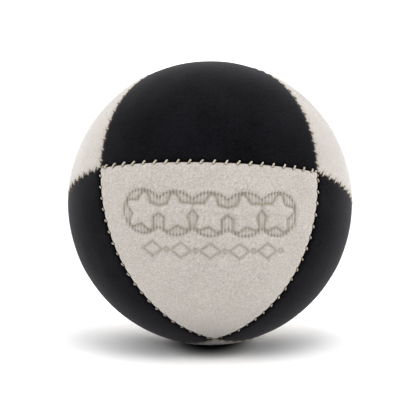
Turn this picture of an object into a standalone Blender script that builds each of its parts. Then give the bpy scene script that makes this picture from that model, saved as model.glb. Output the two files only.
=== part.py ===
"""A stuffed juggling ball of eight three-cornered suede panels, four white and four black.

The panels are whip-stitched edge to edge along twelve seams, one length of thread to a seam. Inside lies
a cloth liner of two sewn halves, and the liner is packed with millet. The ball rests on the small flat
that its own weight presses into the panel under it. The origin is the middle of that flat, +Z is up and
-Y is the front. Every piece is first made on a true sphere about the ball's centre, then pressed flat.
"""

import math
from functools import lru_cache

import bmesh
import bpy
import numpy as np
from mathutils.geometry import delaunay_2d_cdt

# Driving dimensions, in metres
BALL_DIAMETER = 0.067
PANEL_THICKNESS = 0.0012
LINER_THICKNESS = 0.0004
LAYER_GAP = 0.0003  # cover to liner, and liner to millet
SEAM_GAP = 0.0003  # between the facing edges of two panels
THREAD_DIAMETER = 0.0004
STITCH_PITCH = 0.00265
STITCH_WIDTH = 0.0010  # across the seam, from the hole in one panel to the hole in the other
STITCH_SLANT = 0.0005  # along the seam, between the same two holes
THREAD_PROUD = 0.00025  # how far a stitch stands above the cover
THREAD_CLEARANCE = 0.0002  # all round the thread
THREAD_TAIL = 0.0009  # the end left inside, past the last hole
CORNER_NECK = 0.0006  # least suede between the last holes of two seams that share a corner
LINER_THREAD_DIAMETER = 0.0002
LINER_THREAD_CLEARANCE = 0.00015
REST_DEPTH = 0.0005  # how far the ball's weight presses its underside in
REST_SHOULDER = 0.0002  # the height over which the flat rounds off into the ball
FACET_SIZE = 0.0055  # largest spacing of the points on the curved surfaces
NOTCH_HALF_ANGLE = math.radians(30)
THREAD_SIDES = 4
REST_RING_POINTS = 15
REST_RING_MARGIN = 0.0012  # least distance from the flat's outer ring to the points of the even grid

# The six places where four panels meet are three corners and the points opposite them. Each has its
# azimuth from the front towards +X and its elevation, in degrees. Hand sewing leaves them not quite square.
CORNER_ANGLES = {"left": (-50.0, 17.5), "right": (48.0, 16.0), "bottom": (4.0, -63.0)}
OPPOSITE_NAMES = {"left": "back_right", "right": "back_left", "bottom": "top"}
PANEL_CORNERS = {
    "front_white_panel": ("left", "bottom", "right"),
    "upper_left_white_panel": ("left", "top", "back_left"),
    "upper_right_white_panel": ("right", "top", "back_right"),
    "lower_back_white_panel": ("back_left", "bottom", "back_right"),
    "top_black_panel": ("left", "right", "top"),
    "left_black_panel": ("left", "bottom", "back_left"),
    "right_black_panel": ("right", "bottom", "back_right"),
    "back_black_panel": ("back_left", "top", "back_right"),
}
WHITE_FULLNESS = 0.0009  # how far a white panel's edge bows into the black panel beside it
SEAM_BOWS = {  # the seams that the maker drew tighter or looser than that
    frozenset(("left", "right")): -0.0020,
    frozenset(("left", "back_left")): -0.0002,
    frozenset(("right", "back_right")): 0.0001,
    frozenset(("left", "bottom")): 0.0012,
    frozenset(("right", "bottom")): 0.0016,
    frozenset(("back_left", "bottom")): -0.0022,
    frozenset(("back_right", "bottom")): -0.0008,
}
RIM_LOOP = ("left", "right", "back_right", "back_left")  # where the liner's two halves meet

# Derived dimensions
RADIUS = BALL_DIAMETER / 2
CENTRE_HEIGHT = RADIUS - REST_DEPTH
THREAD_RADIUS = THREAD_DIAMETER / 2
HOLE_OFFSET = STITCH_WIDTH / 2
NOTCH_DEPTH = HOLE_OFFSET + (THREAD_RADIUS + THREAD_CLEARANCE) / math.sin(NOTCH_HALF_ANGLE)
NOTCH_HALF_WIDTH = (NOTCH_DEPTH - SEAM_GAP / 2) * math.tan(NOTCH_HALF_ANGLE)
CORNER_MARGIN = NOTCH_DEPTH + CORNER_NECK
OUTER_RUN_DEPTH = THREAD_RADIUS - THREAD_PROUD
INNER_RUN_DEPTH = PANEL_THICKNESS + THREAD_CLEARANCE + THREAD_RADIUS
LINER_DEPTH = PANEL_THICKNESS + LAYER_GAP
LINER_SEAM_DEPTH = INNER_RUN_DEPTH + THREAD_RADIUS + THREAD_CLEARANCE
LINER_RIM_GAP = LINER_THREAD_DIAMETER + 2 * LINER_THREAD_CLEARANCE
MILLET_DEPTH = LINER_DEPTH + LINER_THICKNESS + LAYER_GAP
MILLET_SEAM_DEPTH = LINER_SEAM_DEPTH + LINER_THICKNESS + LAYER_GAP

MATERIALS = {  # base colour (linear), roughness
    "white_suede": ((0.62, 0.57, 0.52), 0.9),
    "black_suede": ((0.012, 0.011, 0.013), 0.85),
    "ecru_thread": ((0.38, 0.31, 0.21), 0.7),
    "liner_cotton": ((0.66, 0.61, 0.50), 0.95),
    "millet": ((0.60, 0.40, 0.13), 0.6),
}


def unit(vector):
    return vector / np.linalg.norm(vector)


def direction(azimuth, elevation):
    turn, rise = math.radians(azimuth), math.radians(elevation)
    return np.array((
        math.sin(turn) * math.cos(rise),
        -math.cos(turn) * math.cos(rise),
        math.sin(rise),
    ))


def corner_directions():
    corners = {}
    for name, angles in CORNER_ANGLES.items():
        corners[name] = direction(*angles)
        corners[OPPOSITE_NAMES[name]] = -corners[name]
    return corners


CORNERS = corner_directions()


def counterclockwise(names):
    """The three corner names in their order as seen from outside the ball."""
    a, b, c = (CORNERS[name] for name in names)
    return names if np.dot(np.cross(a, b), c) > 0 else names[::-1]


class Seam:
    """The line between two panels, walked from one corner to another. Left is as seen from outside."""

    STEP = 0.0001

    def __init__(self, start_name, end_name):
        self.start, self.end = CORNERS[start_name], CORNERS[end_name]
        self.angle = math.acos(np.dot(self.start, self.end))
        self.length = self.angle * RADIUS
        self.left_pole = unit(np.cross(self.start, self.end))
        ends = frozenset((start_name, end_name))
        toward_black = self.black_side(ends)
        self.bow = SEAM_BOWS.get(ends, WHITE_FULLNESS) * toward_black

    def black_side(self, ends):
        """1 where the black panel of this seam lies to the left, else -1."""
        for name, corners in PANEL_CORNERS.items():
            if "black" in name and ends < set(corners):
                (third,) = set(corners) - ends
                return 1 if np.dot(CORNERS[third], self.left_pole) > 0 else -1
        raise ValueError("no black panel lies on this seam")

    def line(self, along):
        """Unit vector to the point of the seam that lies this far along it."""
        share = along / self.length
        arc = self.start * math.sin((1 - share) * self.angle) + self.end * math.sin(share * self.angle)
        bow = self.bow / RADIUS * math.sin(math.pi * share)
        return unit(unit(arc) + self.left_pole * bow)

    def ahead(self, along):
        return unit(self.line(along + self.STEP) - self.line(along - self.STEP))

    def at(self, along, left):
        """Unit vector to a point beside the seam, both distances measured on the ball's surface."""
        out = self.line(along)
        return unit(out + np.cross(out, self.ahead(along)) * left / RADIUS)

    def stitches(self):
        """Where the middle of each stitch lies along the seam."""
        run = self.length - 2 * CORNER_MARGIN
        count = round(run / STITCH_PITCH)
        return [CORNER_MARGIN + run * i / count for i in range(count + 1)]


@lru_cache(maxsize=None)
def seam_between(start_name, end_name):
    return Seam(start_name, end_name)


def grid_direction(names, counts):
    """Unit vector to a point of a triangular grid over a panel; counts are its shares of each corner."""
    whole = sum(counts)
    point = sum(
        CORNERS[name] * math.sin(math.pi / 2 * count / whole) for name, count in zip(names, counts)
    )
    point = unit(point)
    for near, far, off in ((0, 1, 2), (1, 2, 0), (2, 0, 1)):
        on_edge = counts[near] + counts[far]
        if counts[near] and counts[far]:
            seam = seam_between(names[near], names[far])
            fade = 1 - counts[off] / whole
            bow = seam.bow * fade * math.sin(math.pi * counts[far] / on_edge)
            point = point + seam.left_pole * bow / RADIUS
    return unit(point)


def grid_steps():
    return math.ceil(RADIUS * math.pi / 2 / FACET_SIZE)


def panel_outline(names):
    """Unit vectors round a panel, with a tip at each corner and a notch at each hole for the thread."""
    outline = []
    for i in range(3):
        incoming = seam_between(names[i - 1], names[i])
        outgoing = seam_between(names[i], names[(i + 1) % 3])
        opening = math.acos(np.dot(outgoing.ahead(0), -incoming.ahead(incoming.length)))
        edge = SEAM_GAP / 2
        outline.append(outgoing.at(edge / math.tan(opening / 2), edge))
        for stitch in outgoing.stitches():
            hole = stitch + STITCH_SLANT / 2
            outline.append(outgoing.at(hole - NOTCH_HALF_WIDTH, edge))
            outline.append(outgoing.at(hole, NOTCH_DEPTH))
            outline.append(outgoing.at(hole + NOTCH_HALF_WIDTH, edge))
    return outline


def rest_rings():
    """Unit vectors in two rings, at the edge of the flat and where it has rounded off into the ball.

    The second result is the angle from straight down that the rings take up, which grid points keep out of.
    """
    flat = math.acos(1 - (REST_DEPTH - REST_SHOULDER) / RADIUS)
    shoulder = math.acos(1 - (REST_DEPTH + REST_SHOULDER) / (RADIUS - PANEL_THICKNESS))
    rings = []
    for spread in (flat, shoulder):
        for i in range(REST_RING_POINTS):
            turn = math.degrees(math.tau * i / REST_RING_POINTS)
            rings.append(direction(turn, math.degrees(spread) - 90))
    return rings, shoulder + REST_RING_MARGIN / RADIUS


def inside(names, point):
    """Whether a point lies within a panel, clear of its notches."""
    for i in range(3):
        seam = seam_between(names[i], names[(i + 1) % 3])
        if np.dot(point, seam.left_pole) * RADIUS < NOTCH_DEPTH + abs(seam.bow):
            return False
    return True


def panel_points(names):
    """Unit vectors inside a panel's outline: an even grid, and the rings of the flat where it lies here."""
    steps = grid_steps()
    rings, cleared = rest_rings()
    points = [ring for ring in rings if inside(names, ring)]
    for i in range(1, steps - 1):
        for j in range(1, steps - i):
            point = grid_direction(names, (i, j, steps - i - j))
            if not points or -point[2] < math.cos(cleared):
                points.append(point)
    return points


def flatten_out(directions):
    """Where each direction meets a plane that touches a panel's middle, so that its edges stay straight."""
    axis = unit(sum(directions))
    across = unit(np.cross(axis, (0.0, 0.0, 1.0) if abs(axis[2]) < 0.9 else (1.0, 0.0, 0.0)))
    up = np.cross(axis, across)
    return [
        (np.dot(d, across) / np.dot(d, axis), np.dot(d, up) / np.dot(d, axis)) for d in directions
    ]


def make_material(name):
    colour, roughness = MATERIALS[name]
    material = bpy.data.materials.new(name)
    material.use_nodes = True
    shader = material.node_tree.nodes["Principled BSDF"]
    shader.inputs["Base Color"].default_value = (*colour, 1.0)
    shader.inputs["Roughness"].default_value = roughness
    shader.inputs["Metallic"].default_value = 0.0
    material.diffuse_color = (*colour, 1.0)
    return material


def pressed_height(point):
    """The height of a point of the round ball once the flat at the bottom is pressed in."""
    floor = REST_DEPTH - point.length
    overlap = max(REST_SHOULDER - abs(point.z - floor), 0.0)
    return max(point.z, floor) + overlap**2 / (4 * REST_SHOULDER)


def finish_piece(name, bm, material, ball):
    """Presses a round piece onto the flat and makes it an object of the ball."""
    for vert in bm.verts:
        vert.co.z = pressed_height(vert.co)
    bmesh.ops.recalc_face_normals(bm, faces=bm.faces)
    mesh = bpy.data.meshes.new(name)
    bm.to_mesh(mesh)
    bm.free()
    mesh.shade_smooth()
    mesh.set_sharp_from_angle(angle=math.radians(35))
    mesh.materials.append(material)
    piece = bpy.data.objects.new(name, mesh)
    piece.parent = ball
    bpy.context.collection.objects.link(piece)


def thicken(bm, thickness):
    """Gives a sheet its thickness, straight in towards the ball's centre."""
    grown = bmesh.ops.extrude_face_region(bm, geom=bm.faces[:], use_keep_orig=True)
    for item in grown["geom"]:
        if isinstance(item, bmesh.types.BMVert):
            item.co *= 1 - thickness / item.co.length


def make_panel(name, material, ball):
    names = counterclockwise(PANEL_CORNERS[name])
    outline = panel_outline(names)
    directions = outline + panel_points(names)
    flat = flatten_out(directions)
    ring = list(range(len(outline)))
    _, _, triangles, sources, _, _ = delaunay_2d_cdt(flat, [], [ring], 1, 1e-7)
    bm = bmesh.new()
    verts = [bm.verts.new(directions[source[0]] * RADIUS) for source in sources]
    for triangle in triangles:
        bm.faces.new([verts[i] for i in triangle])
    thicken(bm, PANEL_THICKNESS)
    finish_piece(name, bm, material, ball)


def stitch_route(seam):
    """The thread's corners: out of a hole on the right, over to the left, in, and under to the next hole."""
    stitches = seam.stitches()
    near, far = -STITCH_SLANT / 2, STITCH_SLANT / 2
    outer, inner = RADIUS - OUTER_RUN_DEPTH, RADIUS - INNER_RUN_DEPTH
    route = [seam.at(stitches[0] + near - THREAD_TAIL, 0) * inner]
    for stitch in stitches:
        right, left = seam.at(stitch + near, -HOLE_OFFSET), seam.at(stitch + far, HOLE_OFFSET)
        route += [right * inner, right * outer, left * outer, left * inner]
    route.append(seam.at(stitches[-1] + far + THREAD_TAIL, 0) * inner)
    return route


def sweep(bm, route, radius, closed):
    """A thread of even thickness along a route of straight runs, mitred where they meet."""
    count = len(route)
    runs = [unit(route[(i + 1) % count] - route[i]) for i in range(count if closed else count - 1)]
    first = runs[-1] if closed else runs[0]
    side = unit(np.cross(first, route[0]))
    over = np.cross(first, side)
    turns = [math.tau * (i + 0.5) / THREAD_SIDES for i in range(THREAD_SIDES)]
    offsets = [radius * (math.cos(turn) * side + math.sin(turn) * over) for turn in turns]
    rings = []
    for i, point in enumerate(route):
        before = runs[i - 1] if closed or i > 0 else runs[0]
        after = runs[i] if i < len(runs) else runs[-1]
        mitre = unit(before + after)
        offsets = [o - before * np.dot(o, mitre) / np.dot(before, mitre) for o in offsets]
        rings.append([bm.verts.new(point + o) for o in offsets])
        offsets = [o - after * np.dot(o, after) for o in offsets]
    pairs = list(zip(rings, rings[1:]))
    if closed:
        pairs.append((rings[-1], rings[0]))
    for ring, following in pairs:
        for j in range(THREAD_SIDES):
            k = (j + 1) % THREAD_SIDES
            bm.faces.new((ring[j], ring[k], following[k], following[j]))
    if not closed:
        bm.faces.new(rings[0][::-1])
        bm.faces.new(rings[-1])


def make_seam_thread(start_name, end_name, material, ball):
    bm = bmesh.new()
    sweep(bm, stitch_route(seam_between(start_name, end_name)), THREAD_RADIUS, closed=False)
    finish_piece(f"thread_{start_name}_to_{end_name}", bm, material, ball)


def grid_sheet(bm, panels, depth, seam_depth, pole=None):
    """The panels' grids joined into one sheet, sunk under the seams, and held back from its rim by pole."""
    steps = grid_steps()
    verts = {}

    def vert_at(names, counts):
        used = frozenset((name, count) for name, count in zip(names, counts) if count)
        if used not in verts:
            point = grid_direction(names, counts)
            on_rim = pole is not None and {name for name, _ in used} <= set(RIM_LOOP)
            if on_rim:
                point = unit(point + CORNERS[pole] * LINER_RIM_GAP / 2 / RADIUS)
            point = point * (RADIUS - (seam_depth if min(counts) == 0 else depth))
            verts[used] = bm.verts.new(point)
        return verts[used]

    for panel in panels:
        names = counterclockwise(PANEL_CORNERS[panel])
        for i in range(steps):
            for j in range(steps - i):
                k = steps - i - j
                up = [vert_at(names, c) for c in ((i + 1, j, k - 1), (i, j + 1, k - 1), (i, j, k))]
                bm.faces.new(up)
                if k > 1:
                    corners = ((i + 1, j, k - 1), (i + 1, j + 1, k - 2), (i, j + 1, k - 1))
                    bm.faces.new([vert_at(names, c) for c in corners])


def make_liner_half(name, pole, material, ball):
    bm = bmesh.new()
    panels = [panel for panel, corners in PANEL_CORNERS.items() if pole in corners]
    grid_sheet(bm, panels, LINER_DEPTH, LINER_SEAM_DEPTH, pole)
    thicken(bm, LINER_THICKNESS)
    finish_piece(name, bm, material, ball)


def make_liner_thread(material, ball):
    """The thread that joins the liner's halves, a ring in the gap between their rims."""
    steps = grid_steps()
    middle = RADIUS - LINER_SEAM_DEPTH - LINER_THICKNESS / 2
    route = []
    for i, start in enumerate(RIM_LOOP):
        end = RIM_LOOP[(i + 1) % len(RIM_LOOP)]
        route += [grid_direction((start, end, "top"), (steps - j, j, 0)) * middle for j in range(steps)]
    bm = bmesh.new()
    sweep(bm, route, LINER_THREAD_DIAMETER / 2, closed=True)
    finish_piece("liner_thread", bm, material, ball)


def make_millet(material, ball):
    bm = bmesh.new()
    grid_sheet(bm, PANEL_CORNERS, MILLET_DEPTH, MILLET_SEAM_DEPTH)
    finish_piece("millet_filling", bm, material, ball)


def seam_names():
    """The two corners of every seam, each seam once."""
    seams = []
    for corners in PANEL_CORNERS.values():
        for i in range(3):
            pair = (corners[i - 1], corners[i])
            if pair not in seams and pair[::-1] not in seams:
                seams.append(pair)
    return seams


def main():
    for old in list(bpy.data.objects):
        bpy.data.objects.remove(old, do_unlink=True)
    ball = bpy.data.objects.new("juggling_ball", None)
    ball.location = (0.0, 0.0, CENTRE_HEIGHT)
    bpy.context.collection.objects.link(ball)
    materials = {name: make_material(name) for name in MATERIALS}
    for name in PANEL_CORNERS:
        suede = "white_suede" if "white" in name else "black_suede"
        make_panel(name, materials[suede], ball)
    for start_name, end_name in seam_names():
        make_seam_thread(start_name, end_name, materials["ecru_thread"], ball)
    make_liner_half("liner_upper_half", "top", materials["liner_cotton"], ball)
    make_liner_half("liner_lower_half", "bottom", materials["liner_cotton"], ball)
    make_liner_thread(materials["liner_cotton"], ball)
    make_millet(materials["millet"], ball)


main()
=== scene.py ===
"""The looks of the stuffed juggling ball: crowned suede panels, twisted thread, liner cloth and millet.

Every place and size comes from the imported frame. The corners where four panels meet and the seams between
them are read from the frame's thread nodes, and each fine piece is built over the plain solid it replaces.
"""

import math

import bmesh
import bpy
import numpy as np
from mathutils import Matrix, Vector, kdtree


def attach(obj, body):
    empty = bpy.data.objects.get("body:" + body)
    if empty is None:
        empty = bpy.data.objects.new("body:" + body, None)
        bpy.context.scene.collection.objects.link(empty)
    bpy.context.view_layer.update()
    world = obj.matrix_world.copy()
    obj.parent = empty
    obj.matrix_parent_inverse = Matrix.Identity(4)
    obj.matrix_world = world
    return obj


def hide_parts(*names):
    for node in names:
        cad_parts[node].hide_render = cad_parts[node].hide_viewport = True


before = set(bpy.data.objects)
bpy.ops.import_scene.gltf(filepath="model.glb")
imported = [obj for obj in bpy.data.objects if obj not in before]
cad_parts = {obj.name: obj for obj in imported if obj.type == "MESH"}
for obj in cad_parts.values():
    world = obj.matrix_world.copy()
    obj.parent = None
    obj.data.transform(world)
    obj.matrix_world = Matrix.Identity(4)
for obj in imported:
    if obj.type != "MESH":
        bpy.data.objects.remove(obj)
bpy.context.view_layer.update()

MM = 0.001

# Suede panels
PANEL_THICKNESS = 1.2 * MM
FRONT_STEPS = 320  # points along the edge of the panel with the pressed motif
PANEL_STEPS = 200  # the same on the other panels
BACK_SHARE = 4  # the hidden backs have this many times fewer
HEM_WIDTH = 1.6 * MM  # the strip along each seam that rolls down into it
LIP_START = 0.44 * MM  # where the strip turns over
LIP_RADIUS = 0.34 * MM
HEM_SINK = 0.14 * MM  # how far the strip sinks before it turns over

# The unevenness that seed gives the cloth over it
LUMP_HEIGHT = 0.035 * MM
LUMP_WAVELENGTH = 9 * MM
LUMP_WAVES = 14
LUMP_SCALE = 2.6  # brings the mean of the waves back up to about the height asked for
LUMP_FADE = (-0.985, 0.05)  # where they start above the flat, and over how much they rise, on a unit ball
LINER_LUMP_HEIGHT = 0.03 * MM
LINER_LUMP_WAVELENGTH = 6 * MM

# Stitches, which lie where the frame's thread lies
THREAD_RADIUS = 0.2 * MM
# Half a stitch's width, its height over the round ball, and its thickness against the thread's
STITCH_LOOKS = {
    frozenset(("left", "right")): (0.33 * MM, 0.0, 1.05),
    frozenset(("left", "bottom")): (0.20 * MM, -0.16 * MM, 0.85),
    frozenset(("right", "bottom")): (0.22 * MM, -0.14 * MM, 0.9),
}
OTHER_STITCHES = (0.48 * MM, -0.06 * MM, 0.95)
STITCH_PITCH = 2.65 * MM
STITCH_SLANT = 0.5 * MM
STITCH_WOBBLE = 0.1 * MM
STITCH_ROUNDING = 0.24 * MM  # where the thread turns into and out of a hole
CORNER_MARGIN = 1.9 * MM
INNER_RUN_DEPTH = 1.6 * MM
CORNER_STITCH = 0.8 * MM  # how far from the corner the tightening stitch lies
CORNER_STITCH_SHARE = 0.5  # its width against the others'
PUCKER_DEPTHS = (0.28 * MM, 0.04 * MM, -0.02 * MM)  # at a hole, under a stitch, and between two stitches
THREAD_LAY = 9  # the length of one turn of a ply, in radii
PLY_ROUNDING = (0.84, 0.18)  # a thread's reach between its plies, and how much more it is over one

# The liner and its thread, and the filling
LINER_DEPTH = 1.5 * MM
LINER_SEAM_DEPTH = 2.0 * MM  # deeper, under the thread
LINER_THICKNESS = 0.4 * MM
LINER_RIM_GAP = 0.5 * MM
LINER_STEPS = 48
LINER_THREAD_RADIUS = 0.1 * MM
MILLET_DEPTH = 2.2 * MM
MILLET_SEAM_DEPTH = 2.7 * MM
GRAIN_SPACING = 2.0 * MM
GRAIN_DENT = 0.42 * MM  # between the seeds
SEAM_FADE = 2.2 * MM  # how far from a seam the lower layers are held deeper

# The flat under the ball
REST_DEPTH = 0.5 * MM
REST_SHOULDER = 0.2 * MM


def unit(vectors):
    vectors = np.asarray(vectors, float)
    return vectors / np.linalg.norm(vectors, axis=-1, keepdims=True)


# ---------------------------------------------------------------- reading the frame


def node_points(name):
    return np.array([vert.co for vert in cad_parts[name].data.vertices], float)


def fit_ball():
    """The centre and radius of the sphere that the panels' outer faces lie on."""
    points = np.concatenate([node_points(name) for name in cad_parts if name.endswith("_panel")])
    guess = np.array([0.0, 0.0, points[:, 2].max() / 2])
    reach = np.linalg.norm(points - guess, axis=1)
    outer = points[(reach > reach.max() - PANEL_THICKNESS / 2) & (points[:, 2] > 5 * MM)]
    columns = np.c_[2 * outer, np.ones(len(outer))]
    solution = np.linalg.lstsq(columns, (outer**2).sum(1), rcond=None)[0]
    centre = solution[:3]
    return centre, math.sqrt(solution[3] + centre @ centre)


CENTRE, RADIUS = fit_ball()
THREADS = {
    name: tuple(name.removeprefix("thread_").split("_to_"))
    for name in sorted(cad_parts)
    if name.startswith("thread_")
}


def thread_ends(name):
    """The middles of the two end faces of a thread node."""
    points = node_points(name) - CENTRE
    far = points[np.linalg.norm(points - points[0], axis=1).argmax()]
    other = points[np.linalg.norm(points - far, axis=1).argmax()]
    near = 2.2 * THREAD_RADIUS
    return [points[np.linalg.norm(points - end, axis=1) < near].mean(0) for end in (far, other)]


def read_corners():
    """Unit vectors to the places where four panels, and so four threads' ends, meet."""
    ends = {name: thread_ends(name) for name in THREADS}
    corners = {}
    for corner in sorted({c for pair in THREADS.values() for c in pair}):
        mine = [ends[name] for name, pair in THREADS.items() if corner in pair]

        def spread(point):
            return sum(min(np.linalg.norm(point - end) for end in pair) for pair in mine)

        start = min(mine[0], key=spread)
        nearest = [min(pair, key=lambda end: np.linalg.norm(end - start)) for pair in mine]
        corners[corner] = unit(np.mean(nearest, axis=0))
    return corners


CORNERS = read_corners()


class Seam:
    """The line between two panels, walked from start to end. Left is as seen from outside the ball."""

    STEP = 0.1 * MM

    def __init__(self, start, end, bow=None, stitch_look=OTHER_STITCHES):
        self.start, self.end = start, end
        self.hole_offset, self.thread_height, self.thread_scale = stitch_look
        self.angle = math.acos(float(start @ end))
        self.length = self.angle * RADIUS
        self.pole = unit(np.cross(start, end))
        self.bow = np.zeros(3) if bow is None else bow

    def shares(self, directions):
        """How far along the seam each direction lies, from 0 to 1."""
        ahead = np.cross(self.pole, self.start)
        return np.arctan2(directions @ ahead, directions @ self.start) / self.angle

    def line(self, along):
        share = np.asarray(along, float)[..., None] / self.length
        arc = self.start * np.sin((1 - share) * self.angle) + self.end * np.sin(share * self.angle)
        return unit(unit(arc) + self.bow * np.sin(math.pi * share))

    def ahead(self, along):
        return unit(self.line(np.asarray(along) + self.STEP) - self.line(np.asarray(along) - self.STEP))

    def at(self, along, left):
        out = self.line(along)
        side = np.cross(out, self.ahead(along))
        return unit(out + side * (np.asarray(left, float)[..., None] / RADIUS))

    def stitches(self):
        run = self.length - 2 * CORNER_MARGIN
        return CORNER_MARGIN + run * np.linspace(0, 1, round(run / STITCH_PITCH) + 1)


def read_bows():
    """How far each seam bows from the shortest line between its corners, from its thread's points."""
    bows = {}
    for name, (start, end) in THREADS.items():
        seam = Seam(CORNERS[start], CORNERS[end])
        directions = unit(node_points(name) - CENTRE)
        swell = np.sin(math.pi * seam.shares(directions))
        bow = float((directions @ seam.pole) @ swell / (swell @ swell))
        bows[frozenset((start, end))] = seam.pole * bow
    return bows


BOWS = read_bows()


def seam_between(start, end):
    pair = frozenset((start, end))
    return Seam(CORNERS[start], CORNERS[end], BOWS[pair], STITCH_LOOKS.get(pair, OTHER_STITCHES))


def panel_corners(name):
    """The three corners of a panel node, counterclockwise from outside."""
    middle = unit(node_points(name).mean(0) - CENTRE)
    names = sorted(CORNERS, key=lambda corner: -float(CORNERS[corner] @ middle))[:3]
    a, b, c = (CORNERS[corner] for corner in names)
    return names if np.cross(a, b) @ c > 0 else names[::-1]


# ---------------------------------------------------------------- shaping


def pressed(points):
    """Points given about the ball's centre, with the flat at the bottom pressed in, in the row frame."""
    points = np.array(points, float)
    floor = REST_DEPTH - np.linalg.norm(points, axis=-1)
    overlap = np.maximum(REST_SHOULDER - np.abs(points[..., 2] - floor), 0.0)
    points[..., 2] = np.maximum(points[..., 2], floor) + overlap**2 / (4 * REST_SHOULDER)
    return points + CENTRE


def placed(directions, heights):
    """Points at these heights over the round ball."""
    reach = RADIUS + np.broadcast_to(heights, directions.shape[:-1])
    return pressed(directions * reach[..., None])


def soft_lumps(directions, seed, wavelength, height):
    """A gentle seeded unevenness over the ball, as seed under cloth gives."""
    rng = np.random.default_rng(seed)
    waves = rng.normal(size=(LUMP_WAVES, 3))
    waves = unit(waves) * (math.tau * RADIUS / wavelength) * rng.uniform(0.6, 1.5, (LUMP_WAVES, 1))
    phases = rng.uniform(0, math.tau, LUMP_WAVES)
    low, fade = LUMP_FADE
    off_the_flat = np.clip((directions[:, 2] - low) / fade, 0, 1)
    return np.sin(directions @ waves.T + phases).mean(1) * height * LUMP_SCALE * off_the_flat


def triangle_grid(steps):
    """Counts (i, j, k) of every point of a triangular grid, its triangles, and the points round its rim."""
    counts = [(i, j, steps - i - j) for i in range(steps + 1) for j in range(steps + 1 - i)]
    index = {count[:2]: n for n, count in enumerate(counts)}
    triangles = []
    for i in range(steps):
        for j in range(steps - i):
            triangles.append((index[i + 1, j], index[i, j + 1], index[i, j]))
            if i + j < steps - 1:
                triangles.append((index[i + 1, j], index[i + 1, j + 1], index[i, j + 1]))
    rim = [index[steps - t, t] for t in range(steps)]
    rim += [index[0, steps - t] for t in range(steps)]
    rim += [index[t, 0] for t in range(steps)]
    return np.array(counts, float), triangles, rim


def panel_ring(seams, inset, steps):
    """Unit vectors round a panel at one distance from its seams, with where each lies on its seam."""
    directions, alongs = [], []
    for e, seam in enumerate(seams):
        before, after = seams[e - 1], seams[(e + 1) % 3]
        opening = math.acos(float(seam.ahead(0.0) @ -before.ahead(before.length)))
        closing = math.acos(float(after.ahead(0.0) @ -seam.ahead(seam.length)))
        first = inset / math.tan(opening / 2)
        last = seam.length - inset / math.tan(closing / 2)
        along = first + (last - first) * np.arange(steps) / steps
        directions.append(seam.at(along, np.full(steps, inset)))
        alongs.append(along)
    return np.concatenate(directions), alongs


def fill_ring(ring, steps):
    """Unit vectors of a triangular grid whose rim is the ring."""
    counts, triangles, rim = triangle_grid(steps)
    corners = ring[[0, steps, 2 * steps]]
    weights = np.sin(math.pi / 2 * counts / steps)
    points = unit(weights @ corners)
    shares = np.arange(steps + 1) / steps
    for e in range(3):
        near, far, off = e, (e + 1) % 3, (e + 2) % 3
        ends = np.sin(math.pi / 2 * np.c_[1 - shares, shares])
        plain = unit(ends @ corners[[near, far]])
        wanted = ring[(np.arange(steps + 1) + e * steps) % (3 * steps)]
        total = np.maximum(counts[:, near] + counts[:, far], 1e-9)
        where = counts[:, far] / total
        fade = 1 - counts[:, off] / steps
        for axis in range(3):
            points[:, axis] += fade * np.interp(where, shares, (wanted - plain)[:, axis])
    return unit(points), triangles, rim


def groove(distance, width):
    """1 at no distance, fading to nothing over about this width."""
    return np.exp(-((distance / width) ** 2))


def hem_profile():
    """(distance from the seam, height) down a panel's edge, from the strip's start to the panel's back."""
    wide = np.array([1.36, 1.14, 0.95, 0.79, 0.66, 0.55]) * MM
    profile = [(d, -HEM_SINK * ((HEM_WIDTH - d) / (HEM_WIDTH - LIP_START)) ** 2) for d in wide]
    for turn in np.radians([0, 18, 36, 54, 72, 90]):
        drop = LIP_RADIUS * (1 - math.cos(turn))
        profile.append((LIP_START - LIP_RADIUS * math.sin(turn), -HEM_SINK - drop))
    edge = LIP_START - LIP_RADIUS
    for depth in (0.70, 0.93, 1.10):
        profile.append((edge, -depth * MM))
    profile.append((edge + 0.1 * MM, -PANEL_THICKNESS))
    return profile


def pucker(along, across, seam):
    """How the thread draws the suede down at its holes and lets it rise a little between them."""
    holes = seam.stitches() + STITCH_SLANT / 2
    offset = (along[:, None] - holes[None]) / MM
    nearest = offset[np.arange(len(along)), np.abs(offset).argmin(1)]
    across = across / MM
    hole = groove(np.hypot(nearest, across - seam.hole_offset / MM), 0.30)
    drawn = groove(nearest, 0.55) * groove(across, 0.9)
    between = groove(np.abs(nearest) - STITCH_PITCH / MM / 2, 0.6) * groove(across - 0.5, math.sqrt(0.5))
    hole_depth, drawn_depth, between_depth = PUCKER_DEPTHS
    return -(hole_depth * hole + drawn_depth * drawn + between_depth * between)


def build_piece(name, points, faces, material, slot, *nodes):
    """A smooth closed mesh that rides on the ball and stands for these CAD nodes."""
    mesh = bpy.data.meshes.new(name)
    mesh.from_pydata(points.tolist(), [], faces)
    mesh.update()
    mesh.shade_smooth()
    mesh.materials.append(material)
    piece = bpy.data.objects.new(name, mesh)
    bpy.context.collection.objects.link(piece)
    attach(piece, "root")
    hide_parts(*nodes)
    return piece


def fan_strip(fine, coarse, each):
    """Triangles between a fine closed loop and a coarse one, `each` fine points to one coarse point."""
    faces, half = [], each // 2
    for s in range(len(coarse)):
        here, beyond = coarse[s], coarse[(s + 1) % len(coarse)]
        run = [fine[(s * each + t) % len(fine)] for t in range(each + 1)]
        faces += [(run[t], here, run[t + 1]) for t in range(half)]
        faces.append((run[half], here, beyond))
        faces += [(run[t], beyond, run[t + 1]) for t in range(half, each)]
    return faces


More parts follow.
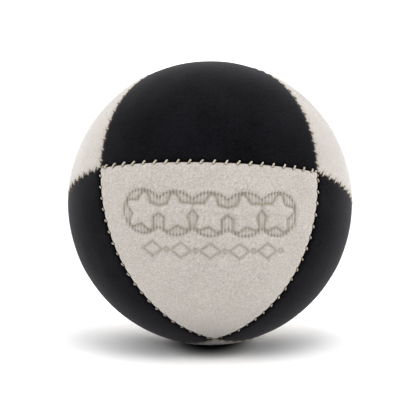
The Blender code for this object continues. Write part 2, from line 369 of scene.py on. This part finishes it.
def make_panel(node, material, steps, relief=None):
    """A suede panel: a fine face, a hem rolled into the seam on all sides, and a plain back."""
    names = panel_corners(node)
    seams = [seam_between(names[e], names[(e + 1) % 3]) for e in range(3)]
    ring, _ = panel_ring(seams, HEM_WIDTH, steps)
    face, faces, loop = fill_ring(ring, steps)
    heights = soft_lumps(face, 3, LUMP_WAVELENGTH, LUMP_HEIGHT)
    if relief is not None:
        heights = heights + relief(face)
    points, count, size = [placed(face, heights)], len(face), 3 * steps
    for across, drop in hem_profile():
        ring, alongs = panel_ring(seams, across, steps)
        fade = max(0.0, 1 + drop / PANEL_THICKNESS)
        lumps = soft_lumps(ring, 3, LUMP_WAVELENGTH, LUMP_HEIGHT)
        draw = np.concatenate([pucker(along, across, seam) for along, seam in zip(alongs, seams)])
        points.append(placed(ring, drop + (lumps + draw) * fade))
        following = list(range(count, count + size))
        faces += [(loop[n - 1], following[n - 1], following[n], loop[n]) for n in range(size)]
        loop, count = following, count + size
    back_ring, _ = panel_ring(seams, HEM_WIDTH / 2, steps // BACK_SHARE)
    back, back_faces, back_loop = fill_ring(back_ring, steps // BACK_SHARE)
    points.append(placed(back, -PANEL_THICKNESS))
    faces += [tuple(count + n for n in corners[::-1]) for corners in back_faces]
    faces += fan_strip(loop, [count + n for n in back_loop], BACK_SHARE)
    suede = "white_suede" if "white" in node else "black_suede"
    name = "suede_" + node.removesuffix("_panel")
    piece = build_piece(name, np.concatenate(points), faces, material, suede, node)


# ---------------------------------------------------------------- the pressed motif

# A generic ornament: a row of plump stars in one outline, and a row of small diamonds under it.
STAR_ROW_TILT = math.radians(1.6)
STAR_COUNT = 5
STAR_PITCH = 7.6 * MM
STAR_REACH = 3.45 * MM
STAR_ROUNDING = 0.75 * MM
STAR_LEAN = 0.12  # to one side and the other in turn, in radians
ROW_SLOPE = 0.025  # both rows sink a little to the right
CLOUD_RADIUS = 4.9 * MM  # the lobes of the outline round the stars
CLOUD_SOFTNESS = 0.35 * MM
DIAMOND_ROW_TILT = math.radians(-12.2)
DIAMOND_COUNT = 5
DIAMOND_PITCH = 6.4 * MM
DIAMOND_HALF = 1.7 * MM
DOT_RADIUS = 0.45 * MM
GROOVE_DEPTH = 0.30 * MM  # round the stars
CLOUD_DEPTH = 0.7 * GROOVE_DEPTH
DIAMOND_DEPTH = 1.2 * GROOVE_DEPTH
STAR_GROOVE = 0.50 * MM  # half the groove's width
CLOUD_GROOVE = 0.45 * MM
DIAMOND_GROOVE = 0.45 * MM
BAND_DEPTH = 0.18 * MM  # the hatched band between the stars and the outline
HATCH_PITCH = 0.75 * MM
HATCH_SHARE = 0.5
PUFF_HEIGHT = 0.20 * MM


def star_distance(x, y, reach, waist=0.5):
    """Signed distance to a five-pointed star about the origin."""
    fold = math.radians(36)
    x = np.abs(x)
    for sign in (1, -1):
        nx, ny = sign * math.cos(fold), -math.sin(fold)
        push = 2 * np.maximum(nx * x + ny * y, 0)
        x, y = x - push * nx, y - push * ny
    x, y = np.abs(x), y - reach
    edge_x, edge_y = waist * math.sin(fold), waist * math.cos(fold) - 1
    h = np.clip((x * edge_x + y * edge_y) / (edge_x**2 + edge_y**2), 0, reach)
    return np.hypot(x - edge_x * h, y - edge_y * h) * np.sign(y * edge_x - x * edge_y)


def smooth_step(low, high, value):
    share = np.clip((value - low) / (high - low), 0, 1)
    return share * share * (3 - 2 * share)


def pressed_motif(directions):
    """Heights of the motif pressed into the front panel."""
    across = np.arctan2(directions[:, 0], -directions[:, 1]) * RADIUS
    up = np.arcsin(directions[:, 2]) * RADIUS + ROW_SLOPE * across
    across = across * np.cos(up / RADIUS)
    star_up = up - STAR_ROW_TILT * RADIUS
    stars, lobes = np.full(len(directions), np.inf), 0.0
    for n in range(STAR_COUNT):
        x = across - (n - (STAR_COUNT - 1) / 2) * STAR_PITCH
        lobes = lobes + np.exp((CLOUD_RADIUS - np.hypot(x, star_up)) / CLOUD_SOFTNESS)
        lean = STAR_LEAN * (-1) ** n
        x, y = x * math.cos(lean) - star_up * math.sin(lean), x * math.sin(lean) + star_up * math.cos(lean)
        stars = np.minimum(stars, star_distance(x, y, STAR_REACH) - STAR_ROUNDING)
    cloud = -CLOUD_SOFTNESS * np.log(lobes)
    band = smooth_step(-0.15 * MM, 0.15 * MM, stars) * smooth_step(0.2 * MM, -0.15 * MM, cloud)
    hatch = HATCH_SHARE * np.sin(across * math.tau / HATCH_PITCH)
    height = -BAND_DEPTH * band * (1 + hatch)
    height -= GROOVE_DEPTH * groove(stars, STAR_GROOVE)
    height -= CLOUD_DEPTH * groove(cloud, CLOUD_GROOVE) * (1 + hatch)
    height += PUFF_HEIGHT * smooth_step(-0.2 * MM, -1.6 * MM, stars)
    diamond_up = up - DIAMOND_ROW_TILT * RADIUS
    diamonds = np.full(len(directions), np.inf)
    for n in range(DIAMOND_COUNT):
        x = across - (n - (DIAMOND_COUNT - 1) / 2) * DIAMOND_PITCH
        diamonds = np.minimum(diamonds, (np.abs(x) * 0.75 + np.abs(diamond_up) - DIAMOND_HALF) * 0.8)
        dot = np.hypot(x - DIAMOND_PITCH / 2, diamond_up) - DOT_RADIUS
        diamonds = np.minimum(diamonds, dot)
    return height - DIAMOND_DEPTH * groove(diamonds, DIAMOND_GROOVE)


# ---------------------------------------------------------------- thread


def rounded(route, cut, steps):
    """A route of straight runs with its corners rounded off, and its runs divided."""
    route = np.asarray(route)
    points = [route[0]]
    for before, corner, after in zip(route, route[1:], route[2:]):
        lead = min(cut, 0.45 * np.linalg.norm(corner - before))
        leave = min(cut, 0.45 * np.linalg.norm(after - corner))
        first = corner + unit(before - corner) * lead
        last = corner + unit(after - corner) * leave
        for t in np.linspace(0, 1, steps):
            points.append((1 - t) ** 2 * first + 2 * t * (1 - t) * corner + t**2 * last)
    points.append(route[-1])
    return np.array(points)


def divided(points, fine, coarse, depth):
    """The route with points about `fine` apart on the outside and `coarse` apart below the given depth."""
    line = [points[0]]
    for start, end in zip(points, points[1:]):
        inside = np.linalg.norm((start + end) / 2) < RADIUS - depth
        count = max(1, round(np.linalg.norm(end - start) / (coarse if inside else fine)))
        line += [start + (end - start) * (t + 1) / count for t in range(count)]
    return np.array(line)


def twisted(line, radius, plies, closed=False):
    """Points and faces of a thread of twisted plies along a line."""
    if closed:
        tangents = unit(np.roll(line, -1, 0) - np.roll(line, 1, 0))
    else:
        tangents = unit(np.gradient(line, axis=0))
    side = unit(np.cross(tangents[0], line[0]))
    sides = []
    for tangent in tangents:
        side = unit(side - tangent * (side @ tangent))
        sides.append(side)
    sides = np.array(sides)
    overs = np.cross(tangents, sides)
    walked = np.r_[0, np.cumsum(np.linalg.norm(np.diff(line, axis=0), axis=1))]
    around = plies * 3
    angles = math.tau * np.arange(around) / around
    lay = math.tau * walked[:, None] / (THREAD_LAY * radius)
    least, more = PLY_ROUNDING
    reach = radius * (least + more * np.abs(np.cos(plies * (angles[None] - lay) / 2)))
    points = line[:, None] + reach[..., None] * (
        np.cos(angles)[None, :, None] * sides[:, None] + np.sin(angles)[None, :, None] * overs[:, None]
    )
    faces, count = [], len(line)
    for i in range(count if closed else count - 1):
        here, beyond = i * around, ((i + 1) % count) * around
        for j in range(around):
            k = (j + 1) % around
            faces.append((here + j, here + k, beyond + k, beyond + j))
    if not closed:
        faces.append(tuple(range(around))[::-1])
        faces.append(tuple(range((count - 1) * around, count * around)))
    return points.reshape(-1, 3), faces


def stitch_route(seam):
    """Out of a hole on the right, over, in on the left, and under to the next; each end has a small stitch."""
    inner, outer = RADIUS - INNER_RUN_DEPTH, RADIUS + seam.thread_height
    places = [CORNER_STITCH, *seam.stitches(), seam.length - CORNER_STITCH]
    route = [seam.at(CORNER_STITCH / 2, 0) * inner]
    rng = np.random.default_rng(len(places) + int(seam.length / (0.01 * MM)))
    for place in places:
        wobble = rng.uniform(-1, 1, 3) * STITCH_WOBBLE
        share = CORNER_STITCH_SHARE if place in (places[0], places[-1]) else 1.0
        top = outer + wobble[2] / 2 - (1 - share) * THREAD_RADIUS
        right = seam.at(place - share * STITCH_SLANT / 2 + wobble[0], -share * seam.hole_offset)
        left = seam.at(place + share * STITCH_SLANT / 2 + wobble[1], share * seam.hole_offset)
        route += [right * inner, right * top, left * top, left * inner]
    route.append(seam.at(seam.length - CORNER_STITCH / 2, 0) * inner)
    return route


def make_seam_thread(node, material):
    seam = seam_between(*THREADS[node])
    route = rounded(stitch_route(seam), STITCH_ROUNDING, steps=5)
    line = divided(route, fine=0.12 * MM, coarse=0.4 * MM, depth=0.9 * MM)
    points, faces = twisted(line, THREAD_RADIUS * seam.thread_scale, plies=3)
    name = "whipstitch" + node.removeprefix("thread")
    build_piece(name, pressed(points), faces, material, "seam_thread", node)


# ---------------------------------------------------------------- liner and filling


def rim_corners():
    """The corners on the line where the liner's halves meet, in order round the ball."""
    names = [name for name in CORNERS if name not in ("top", "bottom")]
    return sorted(names, key=lambda name: math.atan2(CORNERS[name][1], CORNERS[name][0]))


def welded(points, faces):
    """Which points to keep where some coincide, and the faces on those kept."""
    _, first, inverse = np.unique(np.round(points, 8), axis=0, return_index=True, return_inverse=True)
    inverse = inverse.reshape(-1)
    return first, [tuple(int(inverse[n]) for n in face) for face in faces]


def liner_sheet(pole):
    """Directions, nearness to a seam and triangles of one half of the liner."""
    directions, nearness, faces = [], [], []
    for node in sorted(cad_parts):
        if not node.endswith("_panel") or pole not in panel_corners(node):
            continue
        names = panel_corners(node)
        seams = [seam_between(names[e], names[(e + 1) % 3]) for e in range(3)]
        ring, _ = panel_ring(seams, 0.0, LINER_STEPS)
        points, triangles, _ = fill_ring(ring, LINER_STEPS)
        counts = triangle_grid(LINER_STEPS)[0]
        rim = counts[:, names.index(pole)] == 0
        points[rim] = unit(points[rim] + CORNERS[pole] * LINER_RIM_GAP / 2 / RADIUS)
        away = counts.min(1) / LINER_STEPS * seams[0].length * math.sqrt(3) / 2
        start = sum(len(part) for part in directions)
        directions.append(points)
        nearness.append(groove(away, SEAM_FADE))
        faces += [tuple(n + start for n in triangle) for triangle in triangles]
    directions, nearness = np.concatenate(directions), np.concatenate(nearness)
    first, faces = welded(directions, faces)
    return directions[first], nearness[first], faces


def closed_sheet(outer, inner, faces):
    """Two faces of a cloth joined along its rim."""
    count = len(outer)
    edges = {}
    for face in faces:
        for a, b in zip(face, face[1:] + face[:1]):
            edges[a, b] = edges.get((a, b), 0) + 1
    rim = [(a, b) for a, b in edges if (b, a) not in edges]
    both = faces + [tuple(n + count for n in face[::-1]) for face in faces]
    both += [(b, a, a + count, b + count) for a, b in rim]
    return np.concatenate([outer, inner]), both


def make_liner_half(node, pole, material):
    directions, nearness, faces = liner_sheet(pole)
    depth = LINER_DEPTH + (LINER_SEAM_DEPTH - LINER_DEPTH) * nearness
    slack = soft_lumps(directions, 5, LINER_LUMP_WAVELENGTH, LINER_LUMP_HEIGHT) * (1 - nearness)
    outer, inner = placed(directions, slack - depth), placed(directions, slack - depth - LINER_THICKNESS)
    points, faces = closed_sheet(outer, inner, faces)
    name = node.replace("liner", "cotton_liner")
    piece = build_piece(name, points, faces, material, "liner_cotton", node)


def make_liner_thread(material):
    """Two plies all round the ball, in the gap between the liner's rims."""
    names = rim_corners()
    middle = RADIUS - LINER_SEAM_DEPTH - LINER_THICKNESS / 2
    line = []
    for i, start in enumerate(names):
        seam = seam_between(start, names[(i + 1) % len(names)])
        line.append(seam.line(seam.length * np.arange(200) / 200) * middle)
    points, faces = twisted(np.concatenate(line), LINER_THREAD_RADIUS, plies=2, closed=True)
    build_piece("liner_joining_thread", pressed(points), faces, material, "liner_thread", "liner_thread")


def seam_nearness(directions):
    """1 on a seam, fading to 0 inside the panels."""
    nearest = np.full(len(directions), -1.0)
    for start, end in THREADS.values():
        seam = seam_between(start, end)
        line = seam.line(seam.length * np.arange(61) / 60)
        nearest = np.maximum(nearest, (directions @ line.T).max(1))
    return groove(np.arccos(np.clip(nearest, -1, 1)) * RADIUS, SEAM_FADE)


def make_millet(material):
    """One closed body of packed seeds, each a small dome."""
    bm = bmesh.new()
    bmesh.ops.create_icosphere(bm, subdivisions=7, radius=1.0)
    directions = unit([vert.co for vert in bm.verts])
    faces = [tuple(vert.index for vert in face.verts) for face in bm.faces]
    bm.free()
    count = int(4 * math.pi * (RADIUS - MILLET_DEPTH) ** 2 / (GRAIN_SPACING**2 * 0.87))
    turn = np.arange(count) * math.pi * (3 - math.sqrt(5))
    height = 1 - 2 * (np.arange(count) + 0.5) / count
    flat = np.sqrt(1 - height**2)
    rng = np.random.default_rng(11)
    grains = np.c_[flat * np.cos(turn), flat * np.sin(turn), height]
    grains = unit(grains + rng.normal(0, 0.22 * GRAIN_SPACING / RADIUS, grains.shape))
    tree = kdtree.KDTree(count)
    for n, grain in enumerate(grains):
        tree.insert(grain, n)
    tree.balance()
    away = np.array([tree.find(direction)[2] for direction in directions]) * RADIUS
    dent = GRAIN_DENT * np.minimum(away / (0.6 * GRAIN_SPACING), 1) ** 2
    depth = MILLET_DEPTH + (MILLET_SEAM_DEPTH - MILLET_DEPTH) * seam_nearness(directions)
    points = placed(directions, -depth - dent)
    piece = build_piece("packed_millet", points, faces, material, "millet", "millet_filling")


# ---------------------------------------------------------------- materials


class Finish:
    """A procedural material with helpers for wiring its nodes."""

    def __init__(self, name, **settings):
        self.material = bpy.data.materials.new(name)
        self.material.use_nodes = True
        self.tree = self.material.node_tree
        self.shader = self.tree.nodes["Principled BSDF"]
        self.place = self.node("ShaderNodeTexCoord").outputs["Object"]
        for socket, value in settings.items():
            self.shader.inputs[socket.replace("_", " ")].default_value = value

    def node(self, kind, **inputs):
        made = self.tree.nodes.new(kind)
        for socket, value in inputs.items():
            self.feed(made.inputs[socket.replace("_", " ")], value)
        return made

    def feed(self, socket, value):
        if isinstance(value, bpy.types.NodeSocket):
            self.tree.links.new(value, socket)
        else:
            socket.default_value = value

    def turned(self, rotation, stretch=(1, 1, 1)):
        """The object's own coordinates, for a pattern turned and then stretched along its own axes."""
        mapping = self.node("ShaderNodeMapping", Vector=self.place)
        mapping.vector_type = "TEXTURE"
        mapping.inputs["Rotation"].default_value = [math.radians(angle) for angle in rotation]
        mapping.inputs["Scale"].default_value = stretch
        return mapping.outputs["Vector"]

    def height(self):
        """How far the surface is outside the round ball; the painted shade in seams, grooves and thread holes
        follows it. On the flat under the ball it counts as level.
        """
        away = self.node("ShaderNodeVectorMath")
        away.operation = "DISTANCE"
        self.feed(away.inputs[0], self.place)
        self.feed(away.inputs[1], tuple(CENTRE))
        over_floor = self.node("ShaderNodeSeparateXYZ", Vector=self.place).outputs["Z"]
        outside = self.maths("SUBTRACT", away.outputs["Value"], RADIUS)
        return self.maths("MAXIMUM", outside, self.maths("MULTIPLY", over_floor, -0.5))

    def noise(self, size, detail=2.0, vector=None, roughness=0.5):
        """Noise with features of about this size in metres."""
        made = self.node("ShaderNodeTexNoise", Scale=1 / size, Detail=detail, Roughness=roughness)
        self.feed(made.inputs["Vector"], self.place if vector is None else vector)
        return made.outputs["Fac"]

    def spread(self, value, low, high, out_low=0.0, out_high=1.0):
        """A value from low to high stretched over another range."""
        made = self.node("ShaderNodeMapRange", Value=value)
        ends = {"From Min": low, "From Max": high, "To Min": out_low, "To Max": out_high}
        for socket, number in ends.items():
            made.inputs[socket].default_value = number
        return made.outputs["Result"]

    def maths(self, operation, *values):
        made = self.node("ShaderNodeMath")
        made.operation = operation
        for socket, value in zip(made.inputs, values):
            self.feed(socket, value)
        return made.outputs["Value"]

    def blend(self, share, low, high):
        made = self.node("ShaderNodeMix")
        made.data_type = "RGBA"
        self.feed(made.inputs["Factor"], share)
        for socket, colour in zip([s for s in made.inputs if s.type == "RGBA"], (low, high)):
            self.feed(socket, colour if isinstance(colour, bpy.types.NodeSocket) else (*colour, 1.0))
        return next(s for s in made.outputs if s.type == "RGBA")

    def bumps(self, *layers):
        """Bumps from (height, depth in metres) pairs, one over another."""
        normal = None
        for height, depth in layers:
            made = self.node("ShaderNodeBump", Height=height, Strength=1.0, Distance=depth)
            if normal is not None:
                self.feed(made.inputs["Normal"], normal)
            normal = made.outputs["Normal"]
        self.feed(self.shader.inputs["Normal"], normal)

    def set(self, socket, value):
        self.feed(self.shader.inputs[socket], value)


def white_suede():
    finish = Finish("white_suede", Specular_IOR_Level=0.2, Sheen_Weight=0.7, Sheen_Roughness=0.35)
    brushed = finish.turned((0, -42, 0), (2.6, 1.0, 1.0))
    nap = finish.noise(0.25 * MM, 2.0, brushed, 0.6)
    pores = finish.noise(0.22 * MM, 2.0)
    cloud = finish.noise(7 * MM, 3.0)
    tone = finish.maths("MULTIPLY_ADD", nap, 0.65, finish.maths("MULTIPLY", cloud, 0.1))
    tone = finish.maths("MULTIPLY_ADD", pores, 0.25, tone)
    share = finish.spread(tone, 0.38, 0.62)
    plain = finish.blend(share, (0.378, 0.345, 0.315), (0.572, 0.53, 0.492))
    # Darker the deeper the suede lies below the round ball: partly the heat-pressed motif's own darker tone,
    # partly painted shade in the motif's grooves, at the thread holes and where the hem rolls down into the
    # seams.
    pressed_in_shade = finish.spread(finish.height(), -0.12 * MM, -0.50 * MM)
    finish.set("Base Color", finish.blend(pressed_in_shade, plain, (0.30, 0.265, 0.215)))
    finish.set("Roughness", finish.spread(nap, 0.3, 0.7, 0.92, 0.78))
    finish.bumps((nap, 0.15 * MM), (pores, 0.06 * MM))
    return finish.material


def black_suede():
    finish = Finish("black_suede", Specular_IOR_Level=0.02, Sheen_Weight=0.14, Sheen_Roughness=0.38)
    finish.shader.inputs["Sheen Tint"].default_value = (0.8, 0.78, 0.82, 1.0)
    brushed = finish.turned((0, -30, 20), (2.4, 1.0, 1.0))
    nap = finish.noise(0.34 * MM, 2.0, brushed, 0.6)
    cloud = finish.noise(8 * MM, 3.0)
    tone = finish.maths("MULTIPLY_ADD", nap, 0.5, finish.maths("MULTIPLY", cloud, 0.5))
    share = finish.spread(tone, 0.36, 0.64)
    plain = finish.blend(share, (0.0020, 0.0018, 0.0026), (0.0072, 0.0066, 0.0086))
    # Painted shade: the black suede turns nearly black where its hem rolls down into the seams and at the
    # thread holes.
    pressed_in_shade = finish.spread(finish.height(), -0.05 * MM, -0.30 * MM)
    finish.set("Base Color", finish.blend(pressed_in_shade, plain, (0.001, 0.001, 0.001)))
    finish.set("Roughness", finish.spread(nap, 0.3, 0.7, 0.9, 0.75))
    finish.bumps((nap, 0.06 * MM))
    return finish.material


def seam_thread():
    finish = Finish("ecru_thread", Specular_IOR_Level=0.35, Roughness=0.6, Coat_Weight=0.08,
                    Coat_Roughness=0.4)
    fibre = finish.noise(0.16 * MM, 3.0)
    stain = finish.noise(1.6 * MM, 2.0)
    share = finish.spread(finish.maths("ADD", fibre, stain), 0.8, 1.15)
    plain = finish.blend(share, (0.34, 0.29, 0.22), (0.56, 0.51, 0.43))
    # Painted shade: the thread darkens to brown the lower it lies, into the seam and down its holes.
    sunk_shade = finish.spread(finish.height(), 0.05 * MM, -0.35 * MM)
    finish.set("Base Color", finish.blend(sunk_shade, plain, (0.13, 0.09, 0.05)))
    finish.bumps((fibre, 0.03 * MM))
    return finish.material


def weave(name, low, high, pitch):
    """Plain-weave cloth: rows of threads each way, round where they rise, with painted shade in the low places
    between them.
    """
    finish = Finish(name, Specular_IOR_Level=0.2, Roughness=0.9, Sheen_Weight=0.15)
    rows = []
    for axis in ("X", "Y"):
        wave = finish.node("ShaderNodeTexWave", Scale=math.tau / 20 / pitch, Distortion=1.2)
        wave.bands_direction = axis
        finish.feed(wave.inputs["Vector"], finish.turned((0, 38, 24)))
        rows.append(wave.outputs["Fac"])
    height = finish.maths("MAXIMUM", *rows)
    fuzz = finish.noise(0.3 * MM, 2.0)
    # Painted shade: the colour darkens where the weave is low, between the threads.
    finish.set("Base Color", finish.blend(finish.maths("MULTIPLY", height, fuzz), low, high))
    finish.bumps((height, 0.08 * MM), (fuzz, 0.03 * MM))
    return finish.material


def liner_thread():
    finish = Finish("undyed_thread", Specular_IOR_Level=0.3, Roughness=0.6)
    fibre = finish.noise(0.1 * MM, 2.0)
    finish.set("Base Color", finish.blend(fibre, (0.52, 0.47, 0.39), (0.78, 0.74, 0.66)))
    finish.bumps((fibre, 0.015 * MM))
    return finish.material


def millet():
    finish = Finish("millet_seed", Specular_IOR_Level=0.45, Coat_Weight=0.2, Coat_Roughness=0.3)
    seed = finish.node("ShaderNodeTexVoronoi", Vector=finish.place, Scale=1 / GRAIN_SPACING)
    hue = finish.node("ShaderNodeSeparateColor", Color=seed.outputs["Color"]).outputs["Red"]
    skin = finish.noise(0.4 * MM, 2.0)
    share = finish.maths("ADD", finish.maths("MULTIPLY", hue, 0.7), finish.maths("MULTIPLY", skin, 0.3))
    finish.set("Base Color", finish.blend(share, (0.42, 0.24, 0.06), (0.74, 0.54, 0.20)))
    finish.set("Roughness", finish.spread(skin, 0.3, 0.7, 0.5, 0.35))
    finish.bumps((skin, 0.05 * MM))
    return finish.material


# ---------------------------------------------------------------- studio

CAMERA_DISTANCE = 10 * RADIUS
CAMERA_TILT = math.radians(6.0)
CAMERA_LENS = 122.3
AIM = (-0.474 * MM, -1.16 * MM)  # how far right of and above the ball's centre the camera looks
WORLD_FRONT, WORLD_BACK, WORLD_SIDE, WORLD_TOP = 0.12, 1.7, 2.1, 1.9  # how bright each side is
SOFTBOX_PLACE = (0.06, -0.26, 0.60)
SOFTBOX_SIZE = 0.28
SOFTBOX_WATTS = 1.2
FLOOR_HALF = 6.0
FLOOR_TONES_WITH_PAINTED_SHADOW = ((0, 0.01), (4 * MM, 0.02), (12 * MM, 0.92), (30 * MM, 1.0), (120 * MM, 0.78))  # by distance: a painted shadow under the ball, a painted lighter ring round it, and a dimmer floor further off
FLOOR_PAINTED_SHADOW_STRETCH = 2.1  # how much further the painted shadow under the ball reaches to the front and back


def make_camera():
    camera = bpy.data.objects.new("camera", bpy.data.cameras.new("camera"))
    bpy.context.collection.objects.link(camera)
    back = Vector((0, -math.cos(CAMERA_TILT), math.sin(CAMERA_TILT)))
    turn = back.to_track_quat("Z", "Y")
    right, up = turn @ Vector((1, 0, 0)), turn @ Vector((0, 1, 0))
    target = Vector(CENTRE) + right * AIM[0] + up * AIM[1]
    camera.rotation_mode = "QUATERNION"
    camera.rotation_quaternion = turn
    camera.location = target + back * CAMERA_DISTANCE
    camera.data.sensor_width = 36.0
    camera.data.lens = CAMERA_LENS
    camera.data.clip_start = 0.01
    bpy.context.scene.camera = camera


def make_floor():
    mesh = bpy.data.meshes.new("floor")
    corners = [(x * FLOOR_HALF, y * FLOOR_HALF, 0) for x, y in ((-1, -1), (1, -1), (1, 1), (-1, 1))]
    mesh.from_pydata(corners, [], [(0, 1, 2, 3)])
    floor = bpy.data.objects.new("floor", mesh)
    bpy.context.collection.objects.link(floor)
    finish = Finish("pale_floor_with_painted_shadow", Specular_IOR_Level=0.0, Roughness=1.0)
    away = finish.node("ShaderNodeVectorMath")
    away.operation = "LENGTH"
    finish.feed(away.inputs[0], finish.turned((0, 0, 0), (1, FLOOR_PAINTED_SHADOW_STRETCH, 1)))
    far = FLOOR_TONES_WITH_PAINTED_SHADOW[-1][0]
    # The floor's colour carries a painted shadow under the ball and a painted lighter ring round it.
    painted_shadow_tones = finish.node("ShaderNodeValToRGB", Fac=finish.spread(away.outputs["Value"], 0, far))
    ramp = painted_shadow_tones.color_ramp
    ramp.interpolation = "EASE"
    for distance, tone in FLOOR_TONES_WITH_PAINTED_SHADOW[1:-1]:
        ramp.elements.new(distance / far)
    for element, (distance, tone) in zip(ramp.elements, FLOOR_TONES_WITH_PAINTED_SHADOW):
        element.position, element.color = distance / far, (tone, tone, tone, 1.0)
    finish.set("Base Color", painted_shadow_tones.outputs["Color"])
    mesh.materials.append(finish.material)


def make_world():
    """White surroundings, dimmer in front of the ball than above, beside and behind it."""
    world = bpy.data.worlds.new("studio")
    world.use_nodes = True
    bpy.context.scene.world = world
    tree = world.node_tree
    background = tree.nodes["Background"]
    background.inputs["Color"].default_value = (1.0, 1.0, 1.0, 1.0)
    place = tree.nodes.new("ShaderNodeTexCoord").outputs["Generated"]
    parts = tree.nodes.new("ShaderNodeSeparateXYZ")
    tree.links.new(place, parts.inputs[0])

    def maths(operation, *values):
        made = tree.nodes.new("ShaderNodeMath")
        made.operation = operation
        for socket, value in zip(made.inputs, values):
            if isinstance(value, bpy.types.NodeSocket):
                tree.links.new(value, socket)
            else:
                socket.default_value = value
        return made.outputs["Value"]

    x, y, z = parts.outputs
    along = maths("MULTIPLY_ADD", maths("GREATER_THAN", y, 0.0), WORLD_BACK - WORLD_FRONT, WORLD_FRONT)
    strength = maths("MULTIPLY", maths("MULTIPLY", y, y), along)
    strength = maths("MULTIPLY_ADD", maths("MULTIPLY", x, x), WORLD_SIDE, strength)
    strength = maths("MULTIPLY_ADD", maths("POWER", z, 4.0), WORLD_TOP, strength)
    tree.links.new(strength, background.inputs["Strength"])
    bpy.context.scene.view_settings.view_transform = "Standard"


def make_softbox():
    """A key light above the ball, in front of it and a little to the right, which brings the motif out."""
    lamp = bpy.data.lights.new("softbox", "AREA")
    lamp.shape, lamp.size, lamp.energy = "SQUARE", SOFTBOX_SIZE, SOFTBOX_WATTS
    softbox = bpy.data.objects.new("softbox", lamp)
    bpy.context.collection.objects.link(softbox)
    softbox.location = SOFTBOX_PLACE
    softbox.rotation_mode = "QUATERNION"
    softbox.rotation_quaternion = (Vector(SOFTBOX_PLACE) - Vector(CENTRE)).to_track_quat("Z", "Y")


# ---------------------------------------------------------------- assembly


def main():
    white, black, thread = white_suede(), black_suede(), seam_thread()
    for node in sorted(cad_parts):
        if node.endswith("_panel"):
            front = node == "front_white_panel"
            steps, relief = (FRONT_STEPS, pressed_motif) if front else (PANEL_STEPS, None)
            make_panel(node, white if "white" in node else black, steps, relief)
    for node in THREADS:
        make_seam_thread(node, thread)
    cotton = weave("cotton_cloth", (0.50, 0.45, 0.36), (0.76, 0.71, 0.60), 0.55 * MM)
    make_liner_half("liner_upper_half", "top", cotton)
    make_liner_half("liner_lower_half", "bottom", cotton)
    make_liner_thread(liner_thread())
    make_millet(millet())
    make_floor()
    make_world()
    make_softbox()
    make_camera()


main()
